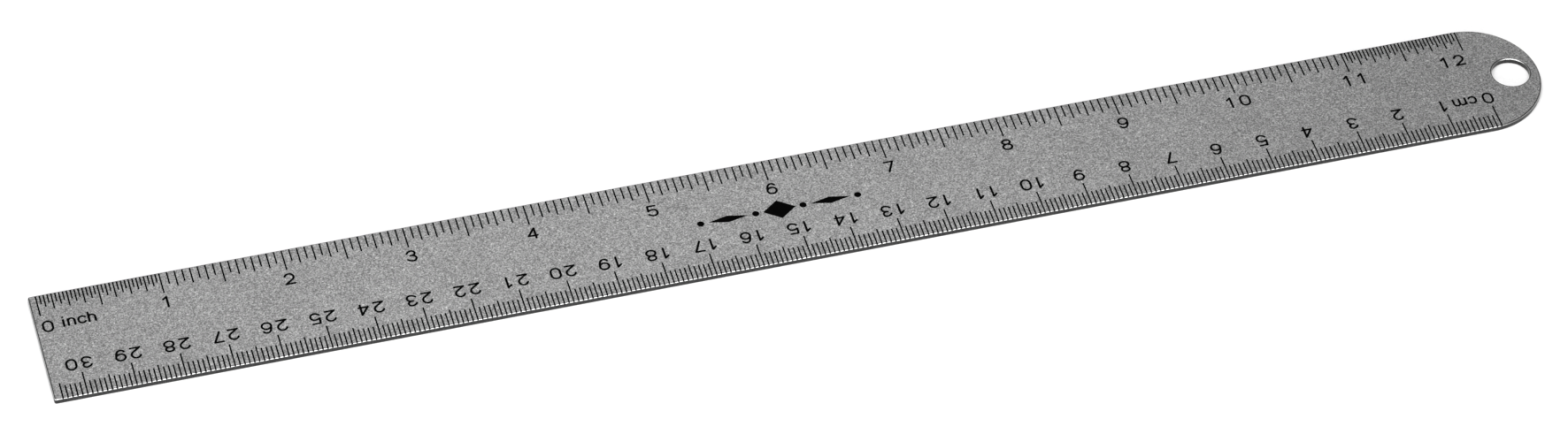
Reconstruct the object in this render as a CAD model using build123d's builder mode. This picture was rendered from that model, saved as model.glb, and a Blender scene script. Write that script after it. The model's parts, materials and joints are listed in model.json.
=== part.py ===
from build123d import *
import os

# A 12 inch and 30 centimetre steel ruler. One blanked steel blade carries two scales, which
# are etched into its face and filled with black ink. Millimetres.
# X runs along the blade from its square end to its round end, Y from the metric edge to the
# inch edge, and Z up through the marked face. The origin is the centre of the underside.

os.makedirs("parts", exist_ok=True)

# Blade
LENGTH = 320.0
WIDTH = 29.0
THICKNESS = 1.4
FACE_EDGE_RADIUS = 0.4  # rounds the marked face into the sides and into the hole
UNDER_EDGE_RADIUS = 0.15
CORNER_RADIUS = 0.5  # the two corners of the square end, seen from above
HOLE_DIAMETER = 8.0
HOLE_TO_TIP = 6.0  # centre of the hanging hole to the tip of the round end

# Etching
ETCH_DEPTH = 0.08
INK_SINK = 0.02  # the ink stops this far below the steel
EDGE_REACH = 0.28  # how far down the rounded edge a scale line runs
LINE_WIDTH = 0.33

# Scales, both read with their own edge at the top, so the metric one is turned round
INCH = 25.4
INCHES = 12
CENTIMETRES = 30
ZERO_TO_END = 1.6  # first inch line to the square end
ZEROS_APART = 0.4  # last inch line to the first metric line, which is nearer the round end
EDGE = WIDTH / 2
INCH_ZERO = ZERO_TO_END - LENGTH / 2
METRIC_ZERO = -(INCH_ZERO + INCHES * INCH + ZEROS_APART)
INCH_SIDE = Plane.XY
METRIC_SIDE = Plane.XY.rotated((0, 0, 180))

# The lines of each scale, as the units from one to the next and the length. A line that could
# belong to several kinds is of the first. The inch scale counts in thirty-seconds.
INCH_LINES = {
    "whole_inch_lines": (32, 5.9),
    "half_inch_lines": (16, 5.9),
    "quarter_inch_lines": (8, 4.55),
    "eighth_inch_lines": (4, 4.55),
    "sixteenth_inch_lines": (2, 3.65),
    "thirty_second_inch_lines": (1, 2.75),
}
METRIC_LINES = {
    "centimetre_lines": (10, 6.0),
    "half_centimetre_lines": (5, 4.1),
    "millimetre_lines": (1, 3.4),
}
EXTRA_MILLIMETRES = 5  # the metric scale runs on past its last number

# Lettering, drawn with a round pen. Heights and half-widths are those of the pen's path.
PEN = 0.48
DIGIT_HEIGHT = 2.76
DIGIT_REACH = 0.95  # half the width of a digit
LETTER_HEIGHT = 1.8
ASCENDER = 2.45
LETTER_PITCH = 1.3  # between the stems of an n, an h or an m
BASELINE = EDGE - 9.8
INCH_PITCH = 3.2  # between the two digits of a number
METRIC_PITCH = 3.15
TEENS_PITCH = 2.85  # metric numbers that start with a narrow 1
METRIC_SHIFT = 0.15  # the metric numbers stand a little past their lines
# Inch numbers that don't stand under their lines, as the distances along and up: the 0 is
# clear of its line, and the 12 is set back from the round end.
INCH_SHIFTS = {0: (0.95, -0.64), 10: (-0.2, 0), 11: (0.3, 0), 12: (-3.4, 0)}

# Ornament in the middle of the blade
DIAMOND = (7.0, 5.2)
SPINDLE = (8.6, 1.9)
BEAD = 1.5
ORNAMENT_GAP = 0.8


def digit_0():
    """A tall ring with straight sides."""
    straight = DIGIT_HEIGHT - 2 * DIGIT_REACH
    with BuildSketch(Location((0, DIGIT_HEIGHT / 2))) as glyph:
        SlotCenterToCenter(straight, 2 * DIGIT_REACH + PEN, rotation=90)
        SlotCenterToCenter(straight, 2 * DIGIT_REACH - PEN, rotation=90, mode=Mode.SUBTRACT)
    return glyph.sketch


def digit_1():
    """A stem with a flag, standing a little right of its centre."""
    stem = 0.17
    with BuildSketch() as glyph:
        with BuildLine():
            Polyline((stem - 0.72, DIGIT_HEIGHT - 0.6), (stem, DIGIT_HEIGHT), (stem, 0))
            offset(amount=PEN / 2)
        make_face()
    return glyph.sketch


def digit_2():
    """A round bow that runs straight down to a flat foot."""
    radius = 0.92
    with BuildSketch() as glyph:
        with BuildLine():
            bow = CenterArc((0, DIGIT_HEIGHT - radius), radius, 160, -210)
            Polyline(bow @ 1, (-DIGIT_REACH, 0), (DIGIT_REACH, 0))
            offset(amount=PEN / 2)
        make_face()
    return glyph.sketch


def digit_3():
    """Two open bowls, the lower one larger, joined by a short bar."""
    upper = 0.62
    lower = 0.73
    turn = 0.18  # the bowls turn about this far right of the centre
    with BuildSketch() as glyph:
        with BuildLine():
            TangentArc((turn, DIGIT_HEIGHT), (-0.85, 2.18), tangent=(-1, 0))
            bowl = CenterArc((turn, DIGIT_HEIGHT - upper), upper, 90, -180)
            Line(bowl @ 1, (-0.2, DIGIT_HEIGHT - 2 * upper))
            offset(amount=PEN / 2)
        make_face()
        with BuildLine():
            TangentArc((turn, 0), (-0.9, 0.5), tangent=(-1, 0))
            CenterArc((turn, lower), lower, -90, 180)
            offset(amount=PEN / 2)
        make_face()
    return glyph.sketch


def digit_4():
    """A stem, a slope and a crossbar."""
    stem = 0.55
    bar = 0.72
    with BuildSketch() as glyph:
        with BuildLine():
            Polyline((stem, 0), (stem, DIGIT_HEIGHT), (-DIGIT_REACH, bar))
            offset(amount=PEN / 2)
        make_face()
        with BuildLine():
            Line((-DIGIT_REACH, bar), (DIGIT_REACH, bar))
            offset(amount=PEN / 2)
        make_face()
    return glyph.sketch


def digit_5():
    """A flag and a short stem that turns back into an open bowl."""
    radius = 0.86
    turn = DIGIT_REACH - radius
    with BuildSketch() as glyph:
        with BuildLine():
            Polyline((0.75, DIGIT_HEIGHT), (-0.8, DIGIT_HEIGHT), (-0.88, 1.4))
            TangentArc((turn, 2 * radius), (-0.88, 1.4), tangent=(-1, 0))
            CenterArc((turn, radius), radius, 90, -180)
            TangentArc((turn, 0), (-0.88, 0.5), tangent=(-1, 0))
            offset(amount=PEN / 2)
        make_face()
    return glyph.sketch


def digit_6():
    """A closed bowl under a tall open bow."""
    bowl = 0.86
    with BuildSketch() as glyph:
        with Locations((0, bowl)):
            Ellipse(DIGIT_REACH + PEN / 2, bowl + PEN / 2)
        with BuildLine():
            flank = JernArc((-0.9, 0.95), (0, 1), 3.1, -26)
            TangentArc(flank @ 1, (0.84, 2.32), tangent=flank % 1)
            offset(amount=PEN / 2)
        make_face()
        with Locations((0, bowl)):
            Ellipse(DIGIT_REACH - PEN / 2, bowl - PEN / 2, mode=Mode.SUBTRACT)
    return glyph.sketch


def digit_7():
    """A flat top and a long slope."""
    with BuildSketch() as glyph:
        with BuildLine():
            Polyline((-0.9, DIGIT_HEIGHT), (0.9, DIGIT_HEIGHT), (-0.4, 0))
            offset(amount=PEN / 2)
        make_face()
    return glyph.sketch


def digit_8():
    """Two closed bowls, the lower one larger."""
    waist = 1.53
    bowls = [(waist / 2, DIGIT_REACH, waist / 2)]
    bowls.append(((DIGIT_HEIGHT + waist) / 2, 0.82, (DIGIT_HEIGHT - waist) / 2))
    with BuildSketch() as glyph:
        for height, reach, rise in bowls:
            with Locations((0, height)):
                Ellipse(reach + PEN / 2, rise + PEN / 2)
        for height, reach, rise in bowls:
            with Locations((0, height)):
                Ellipse(reach - PEN / 2, rise - PEN / 2, mode=Mode.SUBTRACT)
    return glyph.sketch


def digit_9():
    """A 6 turned round."""
    with BuildSketch(Location((0, DIGIT_HEIGHT), (0, 0, 180))) as glyph:
        add(digit_6())
    return glyph.sketch


def letter_i():
    """A stem and a dot."""
    with BuildSketch() as glyph:
        with BuildLine():
            Line((0, 0), (0, LETTER_HEIGHT - 0.12))
            offset(amount=PEN / 2)
        make_face()
        with Locations((0, ASCENDER)):
            Circle(PEN / 2)
    return glyph.sketch


def letter_arches(count, stem_height):
    """A stem followed by the arches and legs of an n, an h or an m."""
    spring = LETTER_HEIGHT - LETTER_PITCH / 2
    with BuildSketch() as glyph:
        with BuildLine():
            Line((0, 0), (0, stem_height))
            offset(amount=PEN / 2)
        make_face()
        for arch in range(count):
            left = arch * LETTER_PITCH
            with BuildLine():
                crown = CenterArc((left + LETTER_PITCH / 2, spring), LETTER_PITCH / 2, 180, -180)
                Line(crown @ 1, (left + LETTER_PITCH, 0))
                offset(amount=PEN / 2)
            make_face()
    return glyph.sketch


def letter_c():
    """An open bow, with its origin at the left of its path."""
    radius = 0.78
    with BuildSketch() as glyph:
        with BuildLine():
            top = CenterArc((radius, LETTER_HEIGHT - radius), radius, 35, 145)
            Line(top @ 1, (0, radius))
            CenterArc((radius, radius), radius, 180, 145)
            offset(amount=PEN / 2)
        make_face()
    return glyph.sketch


DIGITS = [
    digit_0(), digit_1(), digit_2(), digit_3(), digit_4(),
    digit_5(), digit_6(), digit_7(), digit_8(), digit_9(),
]


def number(value, centre, baseline, pitch):
    """The digits of a number, set pitch apart about a centre."""
    digits = [int(digit) for digit in str(value)]
    with BuildSketch() as footprint:
        for place, digit in enumerate(digits):
            with Locations((centre + pitch * (place - (len(digits) - 1) / 2), baseline)):
                add(DIGITS[digit])
    return footprint.sketch


def word(letters, start, baseline):
    """Letters set at their own distances from the start of a word."""
    with BuildSketch() as footprint:
        for along, letter in letters:
            with Locations((start + along, baseline)):
                add(letter)
    return footprint.sketch


def scale_lines(places, length):
    """Lines of one length that run in from the edge of the blade."""
    reach = length + EDGE_REACH
    with BuildSketch() as footprint:
        with Locations([(place, EDGE + EDGE_REACH - reach / 2) for place in places]):
            Rectangle(LINE_WIDTH, reach)
    return footprint.sketch


def lozenge(length, height):
    """A four-sided diamond about the origin."""
    with BuildSketch() as footprint:
        with BuildLine():
            Polyline(
                (-length / 2, 0), (0, -height / 2), (length / 2, 0), (0, height / 2), close=True
            )
        make_face()
    return footprint.sketch


def blank(inset):
    """The blade before etching, with its face and sides moved in by an inset."""
    half_length = LENGTH / 2 - inset
    half_width = EDGE - inset
    round_start = LENGTH / 2 - EDGE
    with BuildPart() as body:
        with BuildSketch() as outline:
            with BuildLine():
                side = Line((-half_length, -half_width), (round_start, -half_width))
                tip = ThreePointArc(side @ 1, (half_length, 0), (round_start, half_width))
                Polyline(tip @ 1, (-half_length, half_width), side @ 0)
            make_face()
            fillet(outline.vertices().group_by(Axis.X)[0], CORNER_RADIUS - inset)
            with Locations((LENGTH / 2 - HOLE_TO_TIP, 0)):
                Circle(HOLE_DIAMETER / 2 + inset, mode=Mode.SUBTRACT)
        extrude(amount=THICKNESS - inset)
        fillet(body.faces().sort_by(Axis.Z)[-1].edges(), FACE_EDGE_RADIUS - inset)
    return body.part


ETCH_FLOOR = blank(ETCH_DEPTH)
INK_SURFACE = blank(INK_SINK)
recesses = []


def etch(name, side, footprint):
    """Take a mark out of the blade's face, and write the ink that fills it."""
    with BuildPart() as recess:
        with BuildSketch(side.offset(THICKNESS - EDGE_REACH)):
            add(footprint)
        extrude(amount=2 * EDGE_REACH)
        add(ETCH_FLOOR, mode=Mode.SUBTRACT)
    recesses.append(recess.part)
    with BuildPart() as ink:
        add(recess.part)
        add(INK_SURFACE, mode=Mode.INTERSECT)
    ink.part.label = name
    export_step(ink.part, f"parts/{name}.step")


def share_out(counts, kinds):
    """Give each count of a scale to the first kind of line that falls on it."""
    shares = {name: [] for name in kinds}
    for count in counts:
        owner = next(name for name, (step, length) in kinds.items() if count % step == 0)
        shares[owner].append(count)
    return shares


# Inch scale: thirty-seconds in the first and the last inch, sixteenths between them
last = 32 * INCHES
counts = [n for n in range(last + 1) if n % 2 == 0 or n < 32 or n > last - 32]
for name, owned in share_out(counts, INCH_LINES).items():
    places = [INCH_ZERO + count * INCH / 32 for count in owned]
    etch(name, INCH_SIDE, scale_lines(places, INCH_LINES[name][1]))

# Metric scale: millimetres
counts = range(10 * CENTIMETRES + EXTRA_MILLIMETRES + 1)
for name, owned in share_out(counts, METRIC_LINES).items():
    places = [METRIC_ZERO + count for count in owned]
    etch(name, METRIC_SIDE, scale_lines(places, METRIC_LINES[name][1]))

# Numbers
for value in range(INCHES + 1):
    along, up = INCH_SHIFTS.get(value, (0, 0))
    centre = INCH_ZERO + value * INCH + along
    footprint = number(value, centre, BASELINE + up, INCH_PITCH)
    etch(f"inch_number_{value}", INCH_SIDE, footprint)
for value in range(CENTIMETRES + 1):
    centre = METRIC_ZERO + value * 10 + METRIC_SHIFT
    pitch = TEENS_PITCH if 10 <= value < 20 else METRIC_PITCH
    footprint = number(value, centre, BASELINE, pitch)
    etch(f"centimetre_number_{value}", METRIC_SIDE, footprint)

# Unit words, each beside the zero of its scale
small_n = letter_arches(1, LETTER_HEIGHT - 0.1)
small_h = letter_arches(1, ASCENDER)
small_m = letter_arches(2, LETTER_HEIGHT - 0.1)
small_c = letter_c()
inch_letters = [(0, letter_i()), (0.97, small_n), (3.05, small_c), (5.18, small_h)]
etch("inch_word", INCH_SIDE, word(inch_letters, INCH_ZERO + 4.17, BASELINE))
metric_letters = [(0, small_c), (2.25, small_m)]
etch("centimetre_word", METRIC_SIDE, word(metric_letters, METRIC_ZERO + 2.75, BASELINE + 0.2))

# Ornament: a diamond, and on each side of it a spindle between two beads
bead_1 = DIAMOND[0] / 2 + ORNAMENT_GAP + BEAD / 2
spindle = bead_1 + BEAD / 2 + ORNAMENT_GAP + SPINDLE[0] / 2
bead_2 = spindle + SPINDLE[0] / 2 + ORNAMENT_GAP + BEAD / 2
with BuildSketch() as ornament:
    with Locations((INCH_ZERO + INCHES * INCH / 2, 0)):
        add(lozenge(*DIAMOND))
        with Locations((-spindle, 0), (spindle, 0)):
            add(lozenge(*SPINDLE))
        with Locations((-bead_2, 0), (-bead_1, 0), (bead_1, 0), (bead_2, 0)):
            Circle(BEAD / 2)
etch("ornament", INCH_SIDE, ornament.sketch)

# Blade: the blank with its underside eased and every mark taken out of its face
with BuildPart() as blade:
    add(blank(0))
    fillet(blade.faces().sort_by(Axis.Z)[0].edges(), UNDER_EDGE_RADIUS)
    add(recesses, mode=Mode.SUBTRACT)
blade.part.label = "blade"
export_step(blade.part, "parts/blade.step")
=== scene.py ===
import json
import math

import bmesh
import bpy
from mathutils import Matrix, Vector


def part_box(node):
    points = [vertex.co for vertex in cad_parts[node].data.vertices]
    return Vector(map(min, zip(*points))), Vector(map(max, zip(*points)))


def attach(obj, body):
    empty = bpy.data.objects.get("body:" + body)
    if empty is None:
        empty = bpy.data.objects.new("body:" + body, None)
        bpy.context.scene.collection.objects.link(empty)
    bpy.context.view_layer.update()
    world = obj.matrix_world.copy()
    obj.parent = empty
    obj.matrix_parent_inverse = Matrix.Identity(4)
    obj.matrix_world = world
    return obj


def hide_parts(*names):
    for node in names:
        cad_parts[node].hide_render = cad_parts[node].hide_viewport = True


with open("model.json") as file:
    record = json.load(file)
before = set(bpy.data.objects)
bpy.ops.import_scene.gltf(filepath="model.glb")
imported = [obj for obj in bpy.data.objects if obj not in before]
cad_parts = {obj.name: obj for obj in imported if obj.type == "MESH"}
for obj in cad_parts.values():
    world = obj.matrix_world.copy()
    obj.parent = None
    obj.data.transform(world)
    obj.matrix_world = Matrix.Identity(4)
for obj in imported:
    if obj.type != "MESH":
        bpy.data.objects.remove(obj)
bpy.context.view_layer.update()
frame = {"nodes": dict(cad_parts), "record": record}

# Sizes are in metres, in the frame of the CAD model: X along the blade to the round end, Y to the
# inch edge and Z up out of the marked face.
MM = 0.001
blade_low, blade_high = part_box("blade")
TIP = blade_high.x
EDGE = blade_high.y
TOP = blade_high.z
hole = next(m for m in frame["record"]["mounts"] if m["name"] == "hanging_hole")
HOLE_X = hole["pos_m"][0]
HOLE_RADIUS = hole["dims"]["r_mm"] * MM
FACE_EDGE_RADIUS = 0.40 * MM
UNDER_EDGE_RADIUS = 0.15 * MM
CORNER_RADIUS = 0.5 * MM
INK_SINK = 0.02 * MM
ETCH_DEPTH = 0.08 * MM

# Fineness of the blade's mesh
ROUND_STEPS = 144
CORNER_STEPS = 12
HOLE_STEPS = 128
EDGE_STEPS = 12
UNDER_STEPS = 4

# The steel. Tones run from the darkest to the lightest grain, and the middle of the noise is
# the range that most of it falls in. Levelness is 1 on the marked face and 0 on the sides.
MIDDLE = (0.35, 0.65)
WIDE_MIDDLE = (0.30, 0.70)
FACE_TONES = (0.17, 0.48)
# Painted shade: a dark band on the rounded edges next to the face, which draws their dark
# outline.
PAINTED_EDGE_SHADE_TONES = (0.07, 0.11)
# Painted highlight: a light band lower on the rounded edges, where the front light's highlight
# falls.
PAINTED_EDGE_HIGHLIGHT_TONES = (0.36, 0.46)
# Painted shade: the sides are made dark, standing in for a dark reflection; their streaks are
# shear marks.
PAINTED_SIDE_SHADE_TONES = (0.028, 0.062)
# Painted glints: bright flecks added to the face colour.
PAINTED_GLINT_TONE = 0.32
FACE_LEVELNESS = (0.93, 0.995)
# Levelness over which the rounded edges go from the painted shade band to the painted highlight
# band.
EDGE_SHADE_TO_HIGHLIGHT_LEVELNESS = (0.74, 0.60)
SIDE_LEVELNESS = (0.36, 0.24)
FACE_ROUGHNESS = (0.38, 0.52)
EDGE_ROUGHNESS = 0.32
GRAIN_BUMP = 0.03 * MM
PIT_BUMP = 0.015 * MM

# The ink and the floor
INK_TONES = (0.0002, 0.0008)
WORN_INK_TONE = 0.001
INK_ROUGHNESS = (0.55, 0.75)
INK_GLOSS = 0.01
INK_BUMP = 0.006 * MM
FLOOR_TONES = (0.83, 0.86)
FLOOR_ROUGHNESS = 0.9
FLOOR_GLOSS = 0.1
FLOOR_BUMP = 0.01 * MM
FLOOR_HALF = 6.0

# The camera. Azimuths are in degrees from +X toward +Y, and elevations in degrees.
LENS_MM = 143.28
SENSOR_MM = 36.0
NEAREST = 0.01
TARGET = Vector((-5.67 * MM, -2.37 * MM, TOP))
CAMERA_DISTANCE = 1282.4 * MM
CAMERA_AZIMUTH = 270 - 16.617
CAMERA_ELEVATION = 46.279
CAMERA_ROLL = 1.514


# ---------------------------------------------------------------- blade
def arc_points(centre, radius, start, end, steps):
    """Points on an arc, from one angle to another in degrees."""
    angles = [math.radians(start + (end - start) * step / steps) for step in range(steps + 1)]
    return [(centre[0] + radius * math.cos(a), centre[1] + radius * math.sin(a)) for a in angles]


def blade_outline(inset):
    """The blade's outline seen from above, moved in by an inset, from the square end round."""
    corner_x = blade_low.x + CORNER_RADIUS
    corner_y = EDGE - CORNER_RADIUS
    corner_radius = CORNER_RADIUS - inset
    points = arc_points((corner_x, -corner_y), corner_radius, 180, 270, CORNER_STEPS)
    points += arc_points((TIP - EDGE, 0), EDGE - inset, -90, 90, ROUND_STEPS)
    points += arc_points((corner_x, corner_y), corner_radius, 90, 180, CORNER_STEPS)
    return points


def hole_outline(inset):
    """The hanging hole's outline, widened by an inset."""
    return arc_points((HOLE_X, 0), HOLE_RADIUS + inset, 0, 360, HOLE_STEPS)[:-1]


def edge_profile():
    """Insets and heights down the blade's side, from the marked face to the underside."""
    profile = []
    for step in range(EDGE_STEPS + 1):
        angle = math.pi / 2 * step / EDGE_STEPS
        drop = 1 - math.cos(angle)
        profile.append((FACE_EDGE_RADIUS * (1 - math.sin(angle)), TOP - FACE_EDGE_RADIUS * drop))
    for step in range(UNDER_STEPS + 1):
        angle = math.pi / 2 * step / UNDER_STEPS
        rise = 1 - math.sin(angle)
        profile.append((UNDER_EDGE_RADIUS * (1 - math.cos(angle)), UNDER_EDGE_RADIUS * rise))
    return profile


def add_wall(mesh, outline):
    """A closed wall that follows the edge profile round an outline. Returns its end loops."""
    rings = []
    for inset, height in edge_profile():
        rings.append([mesh.verts.new((x, y, height)) for x, y in outline(inset)])
    for upper, lower in zip(rings, rings[1:]):
        for i in range(len(upper)):
            j = (i + 1) % len(upper)
            mesh.faces.new((upper[i], lower[i], lower[j], upper[j]))
    return rings[0], rings[-1]


def loop_edges(mesh, loop):
    """The edges along a closed loop of vertices."""
    return [mesh.edges.get((a, b)) for a, b in zip(loop, loop[1:] + loop[:1])]


def blank_mesh():
    """The blade before etching: both walls, closed by the marked face and the underside."""
    mesh = bmesh.new()
    walls = [add_wall(mesh, blade_outline), add_wall(mesh, hole_outline)]
    for end in (0, 1):
        edges = [edge for wall in walls for edge in loop_edges(mesh, wall[end])]
        bmesh.ops.triangle_fill(mesh, use_beauty=True, use_dissolve=False, edges=edges)
    bmesh.ops.recalc_face_normals(mesh, faces=mesh.faces)
    return mesh


# ---------------------------------------------------------------- surface
def nearest_side(x, y):
    """How far a point lies in from the nearest side, seen from above, and the way out to it."""
    from_tip = Vector((max(0.0, x - (TIP - EDGE)), y))
    from_hole = Vector((HOLE_X - x, -y))
    ways = [
        (EDGE - from_tip.length, from_tip.normalized()),
        (from_hole.length - HOLE_RADIUS, from_hole.normalized()),
    ]
    before_corner = x - (blade_low.x + CORNER_RADIUS)
    past_corner = max(0.0, abs(y) - (EDGE - CORNER_RADIUS))
    if before_corner < 0:
        from_corner = Vector((before_corner, math.copysign(past_corner, y)))
        ways.append((CORNER_RADIUS - from_corner.length, from_corner.normalized()))
    return min(ways, key=lambda way: way[0])


def surface(point):
    """How deep a point lies in the blade before etching, and the way out to the surface."""
    inward, way_out = nearest_side(point.x, point.y)
    rounded = (
        (FACE_EDGE_RADIUS, point.z - (TOP - FACE_EDGE_RADIUS), 1),
        (UNDER_EDGE_RADIUS, UNDER_EDGE_RADIUS - point.z, -1),
    )
    for radius, past, upward in rounded:
        if inward < radius and past > 0:
            arm = (way_out * (radius - inward)).to_3d() + Vector((0, 0, past * upward))
            return radius - arm.length, arm.normalized()
    flat = (
        (inward, way_out.to_3d()),
        (TOP - point.z, Vector((0, 0, 1))),
        (point.z, Vector((0, 0, -1))),
    )
    return min(flat, key=lambda way: way[0])


# ---------------------------------------------------------------- etching
def ink_nodes():
    """Every node of the frame but the blade: the ink of the marks."""
    return [node for name, node in frame["nodes"].items() if name != "blade"]


def recess_mesh():
    """The shape of every recess: the ink, with its exposed side raised clear of the steel."""
    clearance = 0.1 * MM
    exposed = (INK_SINK + ETCH_DEPTH) / 2
    weld = 0.0005 * MM
    mesh = bmesh.new()
    for node in ink_nodes():
        mesh.from_mesh(node.data)
    bmesh.ops.remove_doubles(mesh, verts=mesh.verts, dist=weld)
    for vertex in mesh.verts:
        depth, way_out = surface(vertex.co)
        if depth < exposed:
            vertex.co += way_out * clearance
    bmesh.ops.recalc_face_normals(mesh, faces=mesh.faces)
    return mesh


def new_object(name, mesh):
    """An object in the scene from a bmesh, which is freed."""
    data = bpy.data.meshes.new(name)
    mesh.to_mesh(data)
    mesh.free()
    result = bpy.data.objects.new(name, data)
    bpy.context.scene.collection.objects.link(result)
    return result


def apply_modifiers(target):
    """Turns an object's modifiers into its own mesh."""
    graph = bpy.context.evaluated_depsgraph_get()
    data = bpy.data.meshes.new_from_object(target.evaluated_get(graph))
    target.modifiers.clear()
    target.data = data


def smooth_surface(mesh):
    """Gives the outer surface the normals of its true shape, and leaves the recesses flat."""
    skin = 0.002 * MM
    straight_up = 0.999
    same_way = 0.5
    near = [surface(vertex.co) for vertex in mesh.vertices]
    normals = [None] * len(mesh.loops)
    for face in mesh.polygons:
        outer = all(near[v][0] < skin for v in face.vertices)
        level = all(near[v][1].z > straight_up for v in face.vertices)
        along = near[face.vertices[0]][1].dot(face.normal) > same_way
        for corner in face.loop_indices:
            true_normal = near[mesh.loops[corner].vertex_index][1]
            normals[corner] = true_normal if outer and (level or along) else face.normal
    mesh.normals_split_custom_set(normals)


def steel_blade():
    """The etched blade, with smooth rounded edges and flat faces."""
    blade = new_object("steel_blade", blank_mesh())
    cutter = new_object("recesses", recess_mesh())
    etching = blade.modifiers.new("etching", "BOOLEAN")
    etching.operation = "DIFFERENCE"
    etching.solver = "MANIFOLD"
    etching.object = cutter
    apply_modifiers(blade)
    bpy.data.objects.remove(cutter)
    smooth_surface(blade.data)
    return blade


# ---------------------------------------------------------------- materials
class Nodes:
    """Short ways to add and join the nodes of one material."""

    def __init__(self, name):
        self.material = bpy.data.materials.new(name)
        self.material.use_nodes = True
        self.tree = self.material.node_tree
        self.shader = self.tree.nodes["Principled BSDF"]
        self.place = self.tree.nodes.new("ShaderNodeTexCoord").outputs["Object"]

    def link(self, source, target):
        """Joins an output to an input, or sets the input to a number."""
        if isinstance(source, bpy.types.NodeSocket):
            self.tree.links.new(source, target)
        else:
            target.default_value = source

    def noise(self, size, detail=2.0, stretch=(1, 1, 1)):
        """Noise from 0 to 1 with grains of about a size, longer along a stretched axis."""
        mapping = self.tree.nodes.new("ShaderNodeMapping")
        mapping.inputs["Scale"].default_value = [1 / factor for factor in stretch]
        self.link(self.place, mapping.inputs["Vector"])
        node = self.tree.nodes.new("ShaderNodeTexNoise")
        node.inputs["Scale"].default_value = 1 / size
        node.inputs["Detail"].default_value = detail
        self.link(mapping.outputs["Vector"], node.inputs["Vector"])
        return node.outputs["Fac"]

    def flecks(self, size, share):
        """Rises to 1 in a share of the cells of a size, at random, and is 0 in the others."""
        node = self.tree.nodes.new("ShaderNodeTexVoronoi")
        node.inputs["Scale"].default_value = 1 / size
        self.link(self.place, node.inputs["Vector"])
        parts = self.tree.nodes.new("ShaderNodeSeparateColor")
        self.link(node.outputs["Color"], parts.inputs["Color"])
        return self.ramp(parts.outputs["Red"], 1 - share, 1.0)

    def ramp(self, source, start, end, low=0.0, high=1.0):
        """A number moved from one range to another, and kept inside it."""
        node = self.tree.nodes.new("ShaderNodeMapRange")
        for socket, value in zip(node.inputs, (source, start, end, low, high)):
            self.link(value, socket)
        return node.outputs["Result"]

    def math(self, operation, first, second=0.0):
        """One sum on two numbers."""
        node = self.tree.nodes.new("ShaderNodeMath")
        node.operation = operation
        self.link(first, node.inputs[0])
        self.link(second, node.inputs[1])
        return node.outputs[0]

    def mix(self, share, first, second):
        """Goes from the first number to the second as the share goes from 0 to 1."""
        node = self.tree.nodes.new("ShaderNodeMix")
        factor, _, low, high = node.inputs[0:4]
        for value, socket in ((share, factor), (first, low), (second, high)):
            self.link(value, socket)
        return node.outputs["Result"]

    def grey(self, value):
        """A grey of a changing brightness."""
        node = self.tree.nodes.new("ShaderNodeCombineColor")
        for socket in node.inputs:
            self.link(value, socket)
        return node.outputs["Color"]

    def bump(self, height, distance, under=None):
        """Relief of a depth in metres, on top of another relief."""
        node = self.tree.nodes.new("ShaderNodeBump")
        node.inputs["Distance"].default_value = distance
        self.link(height, node.inputs["Height"])
        if under:
            self.link(under, node.inputs["Normal"])
        return node.outputs["Normal"]


def steel_material():
    """Satin steel with a fine grain and painted glints, painted shade and a painted highlight
    band on the rounded edges, and painted shade on the sides.
    """
    steel = Nodes("satin_steel")
    facing = steel.tree.nodes.new("ShaderNodeSeparateXYZ")
    normal = steel.tree.nodes.new("ShaderNodeNewGeometry").outputs["Normal"]
    steel.link(normal, facing.inputs["Vector"])
    levelness = steel.math("ABSOLUTE", facing.outputs["Z"])
    on_face = steel.ramp(levelness, *FACE_LEVELNESS)
    on_side = steel.ramp(levelness, *SIDE_LEVELNESS)

    grain = steel.noise(0.30 * MM, detail=3.0)
    pits = steel.noise(0.16 * MM, detail=1.0)
    # Painted glints: a tenth of small cells made brighter in the face colour.
    painted_glints = steel.flecks(0.22 * MM, 0.10)
    mottle = steel.noise(1.1 * MM, detail=2.0)
    clouds = steel.noise(9 * MM, detail=3.0)
    scuffs = steel.noise(0.35 * MM, detail=2.0, stretch=(40, 1, 1))
    streaks = steel.noise(0.10 * MM, detail=2.0, stretch=(1, 1, 12))

    face = steel.ramp(grain, *MIDDLE, *FACE_TONES)
    face = steel.math("ADD", face, steel.math("MULTIPLY", painted_glints, PAINTED_GLINT_TONE))
    for unevenness, depth in ((mottle, 0.06), (scuffs, 0.03), (clouds, 0.03)):
        shade = steel.ramp(unevenness, *MIDDLE, 1 - depth, 1 + depth)
        face = steel.math("MULTIPLY", face, shade)
    # Painted shade and a painted highlight on the rounded edges, chosen by how far each part
    # faces up.
    painted_edge_shade = steel.ramp(grain, *MIDDLE, *PAINTED_EDGE_SHADE_TONES)
    painted_edge_highlight = steel.ramp(grain, *MIDDLE, *PAINTED_EDGE_HIGHLIGHT_TONES)
    rim = steel.mix(steel.ramp(levelness, *EDGE_SHADE_TO_HIGHLIGHT_LEVELNESS), painted_edge_shade, painted_edge_highlight)
    # Painted shade on the sides, with streaks of shearing.
    side = steel.ramp(streaks, *WIDE_MIDDLE, *PAINTED_SIDE_SHADE_TONES)
    colour = steel.mix(on_side, steel.mix(on_face, rim, face), side)
    steel.link(steel.grey(colour), steel.shader.inputs["Base Color"])

    satin = steel.ramp(pits, *WIDE_MIDDLE, *FACE_ROUGHNESS)
    steel.link(steel.mix(on_face, EDGE_ROUGHNESS, satin), steel.shader.inputs["Roughness"])
    steel.shader.inputs["Metallic"].default_value = 1.0

    relief = steel.bump(grain, GRAIN_BUMP)
    relief = steel.bump(pits, PIT_BUMP, relief)
    steel.link(relief, steel.shader.inputs["Normal"])
    return steel.material


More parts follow.
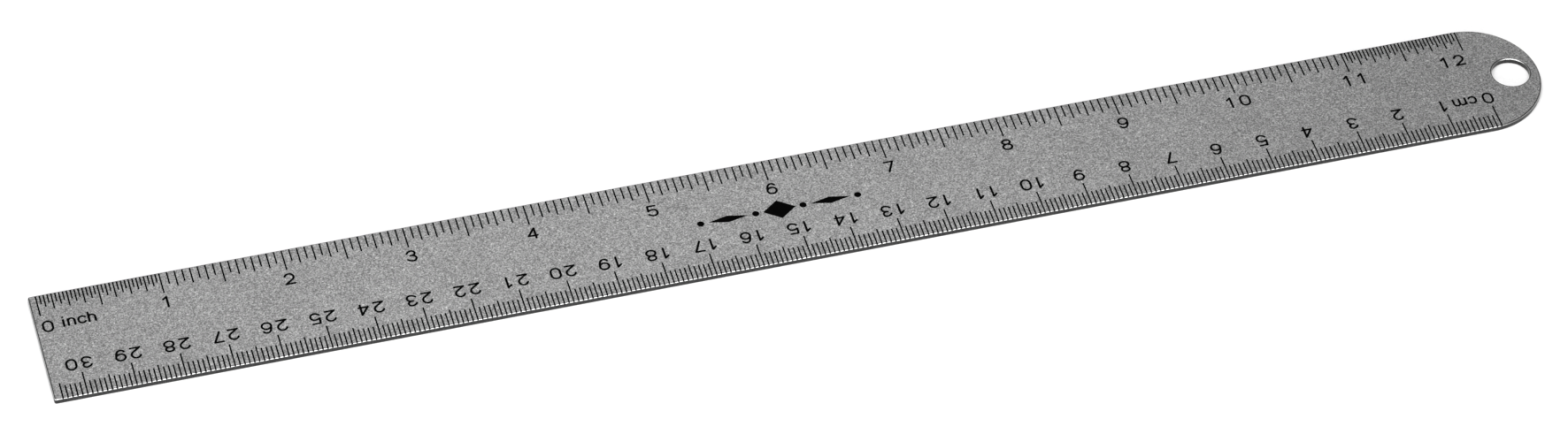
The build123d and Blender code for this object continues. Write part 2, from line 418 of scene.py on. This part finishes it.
def ink_material():
    """Matt black ink, a little uneven where it fills the etched recesses."""
    ink = Nodes("black_ink")
    grain = ink.noise(0.12 * MM)
    patches = ink.noise(1.5 * MM)
    full = ink.ramp(grain, *WIDE_MIDDLE, *INK_TONES)
    shade = ink.mix(ink.ramp(patches, *WIDE_MIDDLE), full, WORN_INK_TONE)
    ink.link(ink.grey(shade), ink.shader.inputs["Base Color"])
    ink.link(ink.ramp(patches, *WIDE_MIDDLE, *INK_ROUGHNESS), ink.shader.inputs["Roughness"])
    ink.link(ink.bump(grain, INK_BUMP), ink.shader.inputs["Normal"])
    ink.shader.inputs["Specular IOR Level"].default_value = INK_GLOSS
    return ink.material


def floor_material():
    """Plain white board."""
    board = Nodes("white_board")
    fibres = board.noise(0.8 * MM)
    shade = board.ramp(fibres, *WIDE_MIDDLE, *FLOOR_TONES)
    board.link(board.grey(shade), board.shader.inputs["Base Color"])
    board.link(board.bump(fibres, FLOOR_BUMP), board.shader.inputs["Normal"])
    board.shader.inputs["Roughness"].default_value = FLOOR_ROUGHNESS
    board.shader.inputs["Specular IOR Level"].default_value = FLOOR_GLOSS
    return board.material


def paint(target, material):
    """Gives an object one material."""
    target.data.materials.clear()
    target.data.materials.append(material)


# ---------------------------------------------------------------- studio
def direction(azimuth, elevation):
    """A direction from an azimuth, in degrees from +X toward +Y, and an elevation."""
    turn, rise = math.radians(azimuth), math.radians(elevation)
    level = math.cos(rise)
    return Vector((level * math.cos(turn), level * math.sin(turn), math.sin(rise)))


def softbox(name, azimuth, elevation, distance, width, height, radiance, aim_x=0.0):
    """A soft light of even brightness that faces a point on the blade's middle line."""
    light = bpy.data.lights.new(name, "AREA")
    light.shape = "RECTANGLE"
    light.size = width
    light.size_y = height
    light.energy = radiance * math.pi * width * height
    holder = bpy.data.objects.new(name, light)
    bpy.context.scene.collection.objects.link(holder)
    holder.visible_camera = False
    holder.location = Vector((aim_x, 0, 0)) + direction(azimuth, elevation) * distance
    holder.rotation_euler = direction(azimuth, elevation).to_track_quat("Z", "Y").to_euler()


def white_floor():
    """A large floor under the blade."""
    mesh = bmesh.new()
    signs = ((-1, -1), (1, -1), (1, 1), (-1, 1))
    corners = [(x * FLOOR_HALF, y * FLOOR_HALF, blade_low.z) for x, y in signs]
    mesh.faces.new([mesh.verts.new(corner) for corner in corners])
    floor = new_object("floor", mesh)
    paint(floor, floor_material())


def sky(radiance):
    """Even light from all round."""
    world = bpy.data.worlds.new("studio")
    world.use_nodes = True
    background = world.node_tree.nodes["Background"]
    background.inputs["Color"].default_value = (1, 1, 1, 1)
    background.inputs["Strength"].default_value = radiance
    bpy.context.scene.world = world


def camera():
    """The camera, high in front of the metric edge and to the left of the middle."""
    lens = bpy.data.cameras.new("camera")
    lens.lens = LENS_MM
    lens.sensor_width = SENSOR_MM
    lens.clip_start = NEAREST
    toward_camera = direction(CAMERA_AZIMUTH, CAMERA_ELEVATION)
    roll = math.radians(CAMERA_ROLL)
    level = toward_camera.cross((0, 0, 1)).normalized() * -1
    right = level * math.cos(roll) + toward_camera.cross(level) * math.sin(roll)
    up = toward_camera.cross(right)
    holder = bpy.data.objects.new("camera", lens)
    bpy.context.scene.collection.objects.link(holder)
    turn = Matrix((right, up, toward_camera)).transposed().to_4x4()
    holder.matrix_world = Matrix.Translation(TARGET + toward_camera * CAMERA_DISTANCE) @ turn
    bpy.context.scene.camera = holder


# ---------------------------------------------------------------- scene
blade = steel_blade()
paint(blade, steel_material())
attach(blade, "root")
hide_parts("blade")

ink = ink_material()
for node in ink_nodes():
    paint(node, ink)

white_floor()
sky(0.30)
softbox(
    "front_strip", azimuth=248, elevation=13, distance=1.2,
    width=3.0, height=0.32, radiance=14.0,
)
softbox(
    "overhead", azimuth=250, elevation=78, distance=0.9,
    width=1.2, height=1.0, radiance=2.8,
)
softbox(
    "back_card", azimuth=76, elevation=47, distance=0.45,
    width=0.40, height=0.35, radiance=0.62, aim_x=-0.04,
)
camera()
bpy.context.scene.view_settings.view_transform = "Standard"
